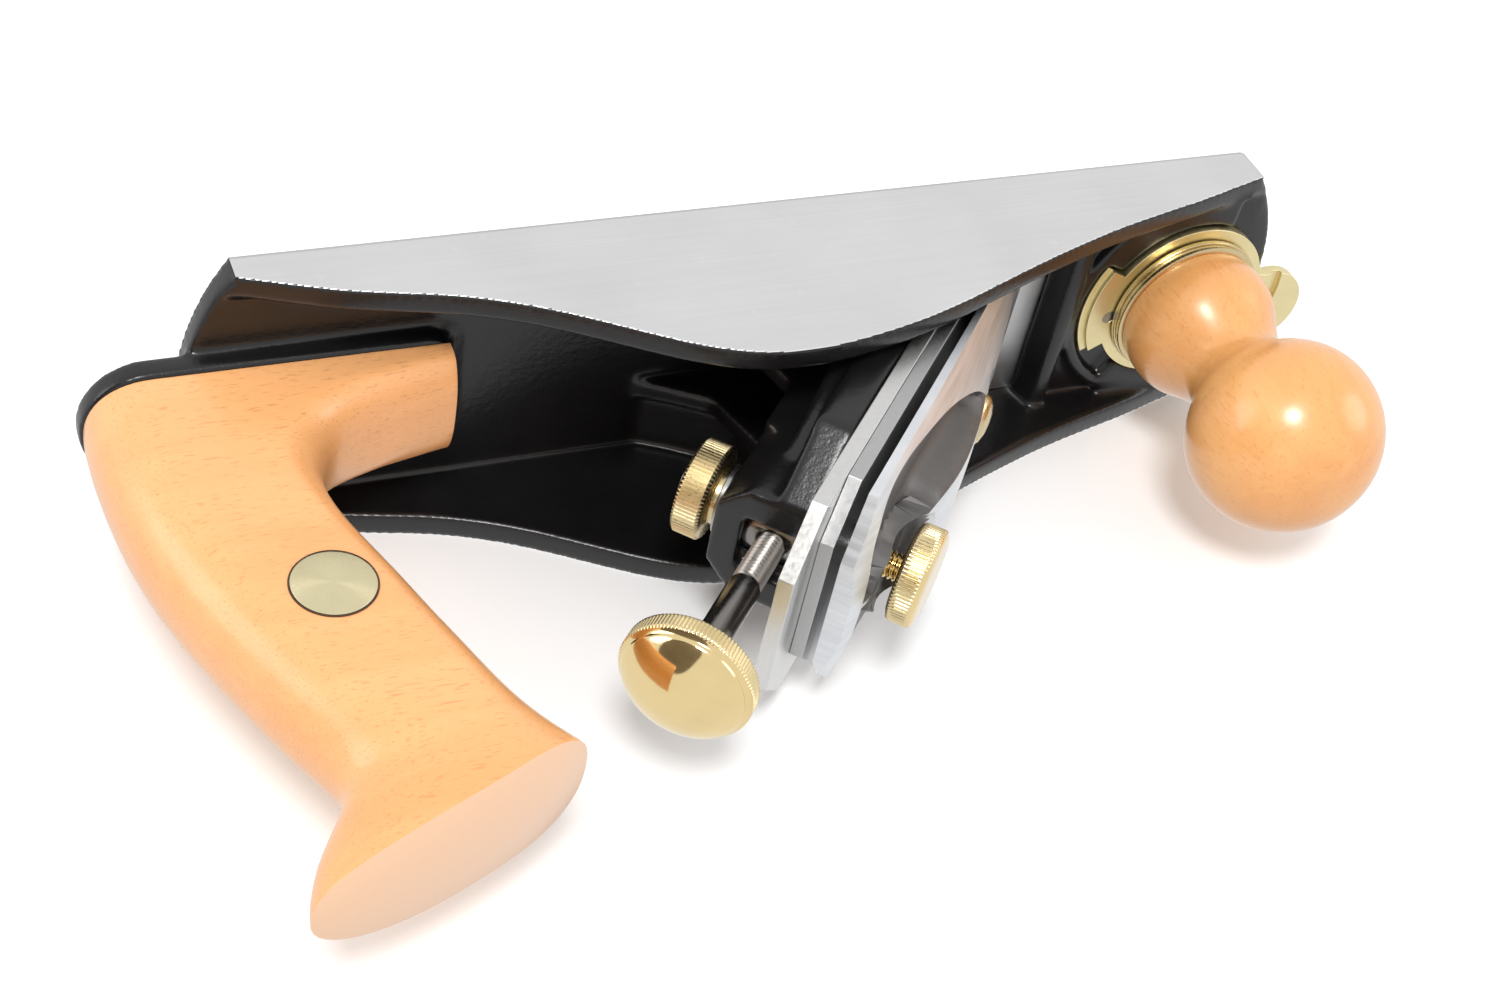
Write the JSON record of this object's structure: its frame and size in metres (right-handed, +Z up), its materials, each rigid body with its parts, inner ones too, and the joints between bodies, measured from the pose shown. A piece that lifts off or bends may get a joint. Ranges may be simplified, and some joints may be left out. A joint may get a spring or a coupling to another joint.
{
  "type": "bench hand plane",
  "caption": "Metal smoothing plane with wooden handle and front knob, sloping blade under a screw-clamped lever cap, brass adjusters and a lever-set mouth.",
  "frame": {"origin": "on the sole, midway between the cheeks, 48 mm behind the foot of the blade bed", "axes": "+X towards the toe, +Y to the left cheek, +Z up out of the sole"},
  "size_m": [0.278, 0.0636, 0.1257],
  "materials": {
    "cast_body": "black enamel on the cast faces, ground bright on sole and cheeks",
    "handle_wood": "satin lacquered beech",
    "knob_wood": "satin lacquered beech",
    "bolt_steel": "turned steel",
    "rod_steel": "dark polished steel",
    "ground_steel": "fine ground",
    "blade_steel": "ground, satin",
    "cap_iron_steel": "ground, satin",
    "lever_cap_steel": "milled bright faces, dark grey scoops",
    "polished_brass": "polished, straight knurled rims",
    "turned_brass": "fine turned",
    "lever_brass": "satin",
    "brushed_brass": "brushed flat ends"
  },
  "bodies": {
    "body": {"body_casting": "cast_body", "handle": "handle_wood", "handle_bolt": "bolt_steel", "handle_barrel_nut": "brushed_brass", "handle_dowel": "bolt_steel", "lever_cap_screw": "turned_brass"},
    "mouth_lever": {"mouth_lever": "lever_brass", "mouth_lever_pin": "bolt_steel"},
    "toe_shoe": {"toe_plate": "ground_steel", "knob_stud": "bolt_steel"},
    "knob_collar": {"knob_ferrule": "turned_brass"},
    "front_knob": {"front_knob": "knob_wood", "knob_insert": "turned_brass"},
    "adjuster_swivel": {"adjuster_post": "bolt_steel"},
    "post_washer": {"post_washer": "bolt_steel"},
    "tension_nut": {"tension_nut": "polished_brass"},
    "cutter": {"blade": "blade_steel", "cap_iron": "cap_iron_steel", "cap_iron_screw": "bolt_steel", "adjuster_carriage": "bolt_steel"},
    "depth_adjuster": {"adjuster_rod": "rod_steel", "adjuster_knob": "polished_brass"},
    "lever_cap": {"lever_cap": "lever_cap_steel"},
    "clamp_pad": {"clamp_pad": "bolt_steel"},
    "clamp_screw": {"clamp_screw": "polished_brass"}
  },
  "joints": [
    {"name": "mouth_lever_swing", "type": "hinge", "parent": "body", "child": "mouth_lever", "pos_m": [0.0971, 0, 0.01], "axis": [0, 0, 1], "range_deg": [0, 26]},
    {"name": "toe_plate_slide", "type": "slide", "parent": "body", "child": "toe_shoe", "axis": [1, 0, 0], "range_m": [0, 0.0027]},
    {"name": "knob_lift", "type": "slide", "parent": "toe_shoe", "child": "knob_collar", "axis": [0, 0, 1], "range_m": [0, 0.00125]},
    {"name": "knob_turn", "type": "hinge", "parent": "knob_collar", "child": "front_knob", "pos_m": [0.0971, 0, 0.03], "axis": [0, 0, 1], "range_deg": [0, 360]},
    {"name": "lateral_swing", "type": "hinge", "parent": "body", "child": "adjuster_swivel", "pos_m": [-0.01635, 0, 0.06435], "axis": [0.7071, 0, 0.7071], "range_deg": [-0.6, 0.6]},
    {"name": "washer_release", "type": "slide", "parent": "adjuster_swivel", "child": "post_washer", "axis": [-0.7071, 0, -0.7071], "range_m": [0, 0.001]},
    {"name": "tension_nut_turn", "type": "hinge", "parent": "post_washer", "child": "tension_nut", "pos_m": [-0.03261, 0, 0.04808], "axis": [-0.7071, 0, -0.7071], "range_deg": [0, 360]},
    {"name": "cutter_depth", "type": "slide", "parent": "adjuster_swivel", "child": "cutter", "axis": [-0.7071, 0, 0.7071], "range_m": [-0.001, 0.003]},
    {"name": "depth_adjuster_turn", "type": "hinge", "parent": "cutter", "child": "depth_adjuster", "pos_m": [-0.05361, 0, 0.09072], "axis": [-0.7071, 0, 0.7071], "range_deg": [-360, 1080]},
    {"name": "lever_cap_slide", "type": "slide", "parent": "body", "child": "lever_cap", "axis": [-0.7071, 0, 0.7071], "range_m": [0, 0.008]},
    {"name": "clamp_pad_lift", "type": "slide", "parent": "lever_cap", "child": "clamp_pad", "axis": [0.7071, 0, 0.7071], "range_m": [0, 0.001]},
    {"name": "clamp_screw_turn", "type": "hinge", "parent": "clamp_pad", "child": "clamp_screw", "pos_m": [-0.0015, 0, 0.07778], "axis": [0.7071, 0, 0.7071], "range_deg": [0, 360]}
  ],
  "couplings": [
    {"joint": "mouth_lever_swing", "follows": "toe_plate_slide", "rad_per_m": 168.05},
    {"joint": "knob_turn", "follows": "knob_lift", "rad_per_m": 5026},
    {"joint": "tension_nut_turn", "follows": "washer_release", "rad_per_m": 6282.6},
    {"joint": "depth_adjuster_turn", "follows": "cutter_depth", "rad_per_m": 6282.6},
    {"joint": "clamp_screw_turn", "follows": "clamp_pad_lift", "rad_per_m": 6282.6}
  ]
}
